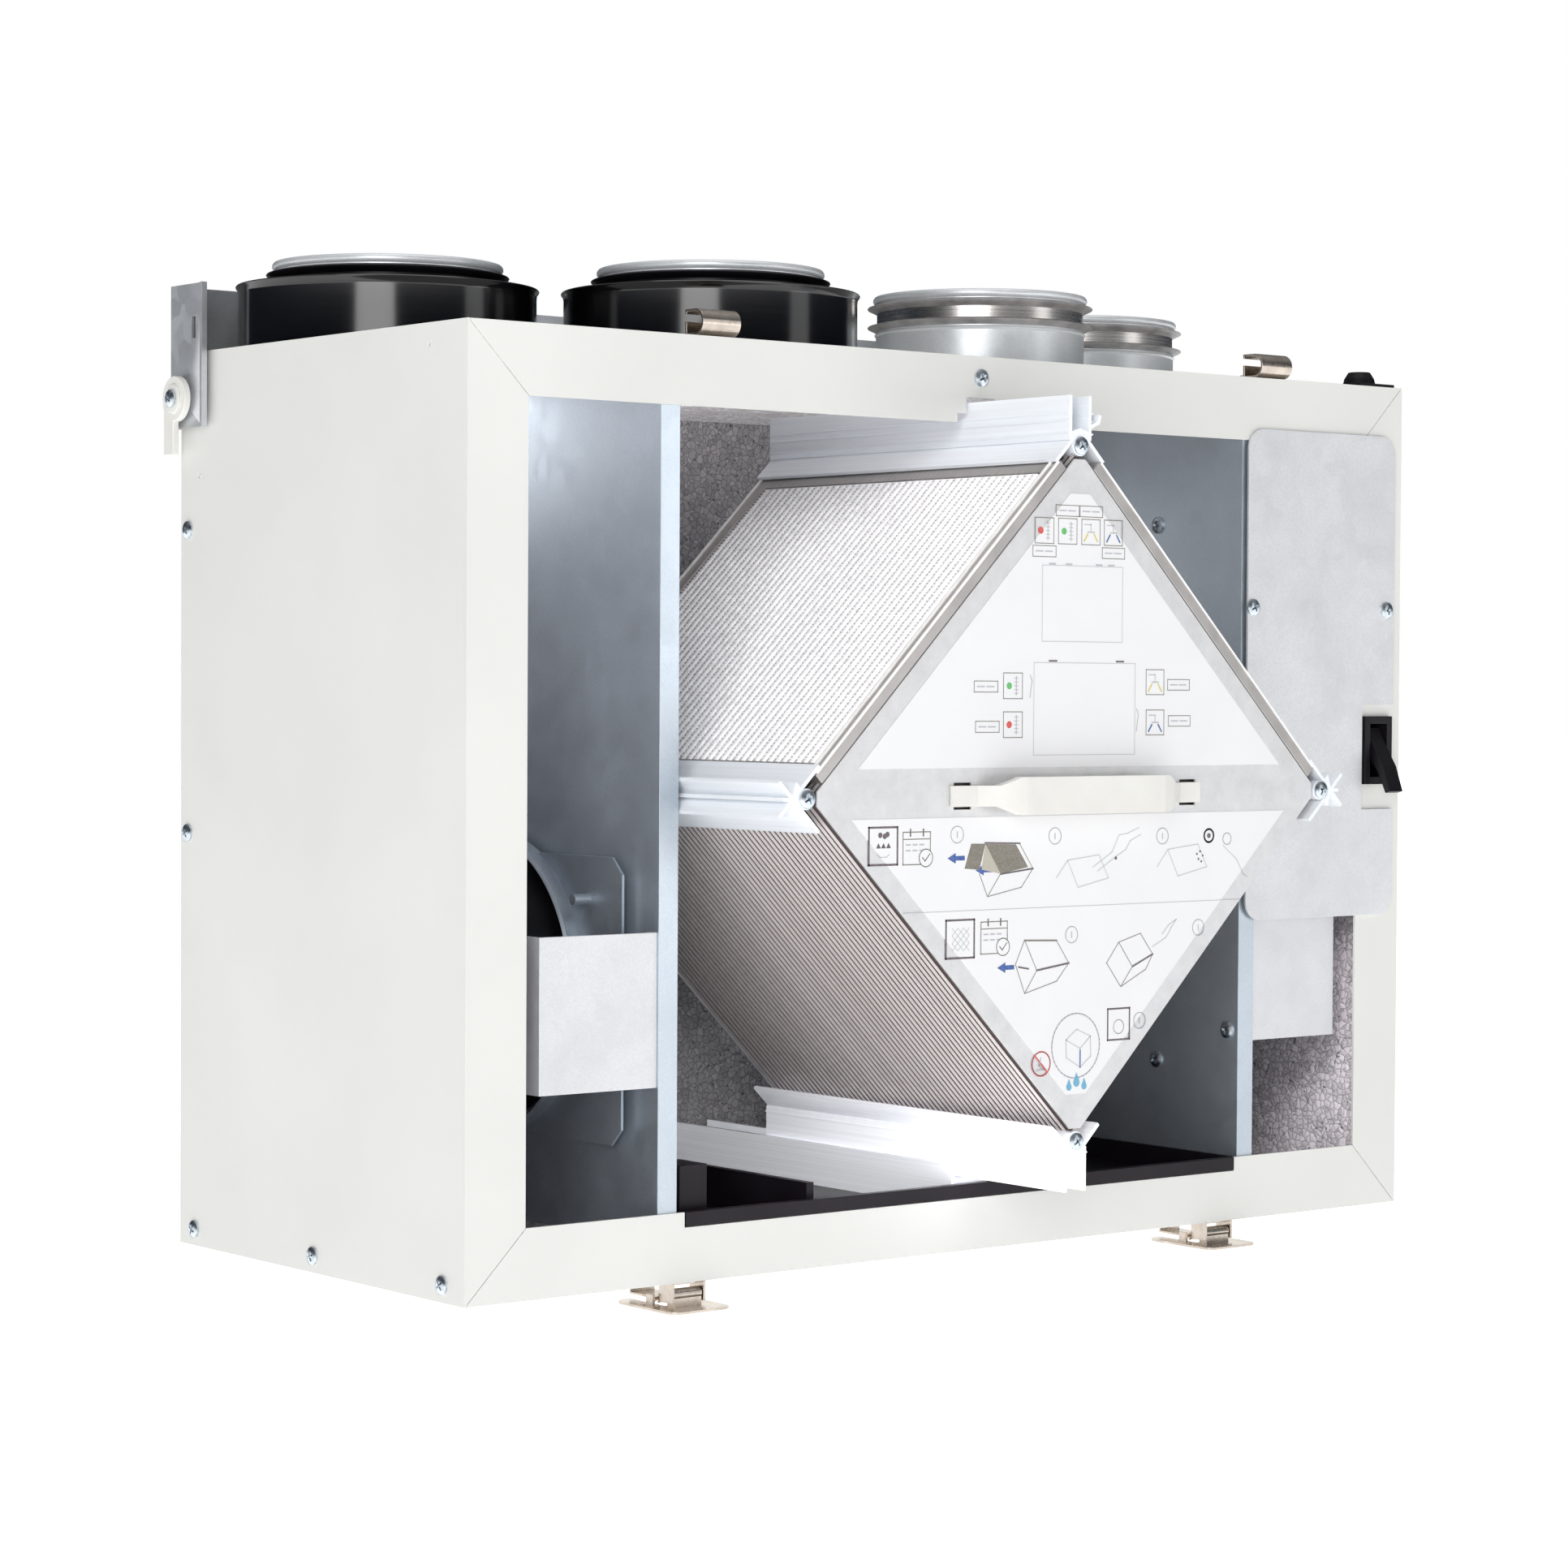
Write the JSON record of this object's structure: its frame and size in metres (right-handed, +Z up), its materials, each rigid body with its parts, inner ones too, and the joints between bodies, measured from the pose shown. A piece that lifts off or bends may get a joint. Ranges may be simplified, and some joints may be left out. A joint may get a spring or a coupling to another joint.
{
  "type": "heat recovery unit",
  "caption": "Wall-hung heat recovery ventilation unit, door off, with a slide-out diamond plate exchanger, side fan bays, top duct spigots and toggle latches.",
  "frame": {"origin": "middle of the wall rail's two screw holes, on the wall plane", "axes": "+Z up, +Y into the wall, so the open front faces -Y; +X across the unit to the right seen from the front"},
  "size_m": [0.7094, 0.385, 0.566],
  "materials": {
    "casing_paint": "satin powder coat",
    "foam": "speckled expanded bead foam",
    "galvanised": "galvanised sheet with soft spangle",
    "black_plastic": "fine moulded grain",
    "gloss_black": "glossy",
    "white_plastic": "extruded, semi gloss",
    "handle_plastic": "soft satin",
    "fan_grey": "grained",
    "motor_steel": "die cast",
    "board_green": "solder mask",
    "seal_rubber": "satin",
    "core_aluminium": "thin rolled plates",
    "plate_aluminium": "rolled",
    "filter_cloth": "pleated fleece under mesh",
    "label_film": "printed film",
    "nickel": "nickel plated",
    "zinc": "zinc plated"
  },
  "bodies": {
    "casing": {"cable_gland": "black_plastic", "casing_back": "casing_paint", "casing_bottom": "casing_paint", "casing_left_side": "casing_paint", "casing_right_side": "casing_paint", "casing_screws": "zinc", "casing_top": "casing_paint", "circuit_board": "board_green", "door_catch_bezel": "black_plastic", "drip_tray": "black_plastic", "electronics_box": "galvanised", "electronics_cover": "galvanised", "exhaust_fan_motor": "motor_steel", "exhaust_fan_plate": "galvanised", "exhaust_fan_shroud": "black_plastic", "exhaust_sleeve": "gloss_black", "exhaust_spigot": "galvanised", "extract_spigot": "galvanised", "guide_rail": "white_plastic", "insulation_back": "foam", "insulation_ceiling": "foam", "insulation_floor": "foam", "insulation_sides": "foam", "latch_bases": "nickel", "left_partition": "galvanised", "left_terminal_cover": "galvanised", "outdoor_sleeve": "gloss_black", "outdoor_spigot": "galvanised", "right_partition": "galvanised", "spigot_seals": "seal_rubber", "supply_fan_motor": "motor_steel", "supply_fan_plate": "galvanised", "supply_fan_shroud": "black_plastic", "supply_spigot": "galvanised", "top_catches": "nickel", "wall_rail": "galvanised"},
    "exchanger": {"exchanger_core": "core_aluminium", "exchanger_front_plate": "plate_aluminium", "exchanger_back_plate": "plate_aluminium", "top_profile": "white_plastic", "bottom_profile": "white_plastic", "left_profile": "white_plastic", "right_profile": "white_plastic", "exchanger_screws": "zinc", "handle_strap": "handle_plastic", "upper_label": "label_film", "lower_label": "label_film"},
    "left_filter": {"left_filter_frame": "plate_aluminium", "left_filter_media": "filter_cloth"},
    "right_filter": {"right_filter_frame": "plate_aluminium", "right_filter_media": "filter_cloth"},
    "exhaust_impeller": {"exhaust_fan_impeller": "fan_grey"},
    "supply_impeller": {"supply_fan_impeller": "fan_grey"},
    "left_lever": {"left_latch_lever": "nickel"},
    "right_lever": {"right_latch_lever": "nickel"},
    "left_hook": {"left_latch_hook": "nickel"},
    "right_hook": {"right_latch_hook": "nickel"},
    "left_disc": {"left_lock_disc": "white_plastic"},
    "right_disc": {"right_lock_disc": "white_plastic"},
    "catch_tongue": {"door_catch_tongue": "black_plastic"}
  },
  "joints": [
    {"name": "exchanger_slide", "type": "slide", "parent": "casing", "child": "exchanger", "axis": [0, -1, 0], "range_m": [-0.083, 0.18]},
    {"name": "left_filter_slide", "type": "slide", "parent": "exchanger", "child": "left_filter", "axis": [0, -1, 0], "range_m": [0, 0.26]},
    {"name": "right_filter_slide", "type": "slide", "parent": "exchanger", "child": "right_filter", "axis": [0, -1, 0], "range_m": [0, 0.26]},
    {"name": "exhaust_impeller_spin", "type": "hinge", "parent": "casing", "child": "exhaust_impeller", "pos_m": [-0.245, -0.146, -0.365], "axis": [1, 0, 0], "continuous": true},
    {"name": "supply_impeller_spin", "type": "hinge", "parent": "casing", "child": "supply_impeller", "pos_m": [0.245, -0.146, -0.365], "axis": [1, 0, 0], "continuous": true},
    {"name": "left_lever_hinge", "type": "hinge", "parent": "casing", "child": "left_lever", "pos_m": [-0.199, -0.284, -0.5215], "axis": [1, 0, 0], "range_deg": [-95, 0]},
    {"name": "left_hook_hinge", "type": "hinge", "parent": "left_lever", "child": "left_hook", "pos_m": [-0.199, -0.272, -0.525], "axis": [1, 0, 0], "range_deg": [-110, 0]},
    {"name": "right_lever_hinge", "type": "hinge", "parent": "casing", "child": "right_lever", "pos_m": [0.19, -0.284, -0.5215], "axis": [1, 0, 0], "range_deg": [-95, 0]},
    {"name": "right_hook_hinge", "type": "hinge", "parent": "right_lever", "child": "right_hook", "pos_m": [0.19, -0.272, -0.525], "axis": [1, 0, 0], "range_deg": [-110, 0]},
    {"name": "left_disc_turn", "type": "hinge", "parent": "casing", "child": "left_disc", "pos_m": [-0.349, -0.0135, -0.046], "axis": [1, 0, 0], "range_deg": [-90, 0]},
    {"name": "right_disc_turn", "type": "hinge", "parent": "casing", "child": "right_disc", "pos_m": [0.349, -0.0135, -0.046], "axis": [1, 0, 0], "range_deg": [-90, 0]},
    {"name": "catch_tongue_hinge", "type": "hinge", "parent": "casing", "child": "catch_tongue", "pos_m": [0.31925, -0.283, -0.229], "axis": [1, 0, 0], "range_deg": [-30, 10], "stiffness_Nm_per_rad": 0.05}
  ]
}
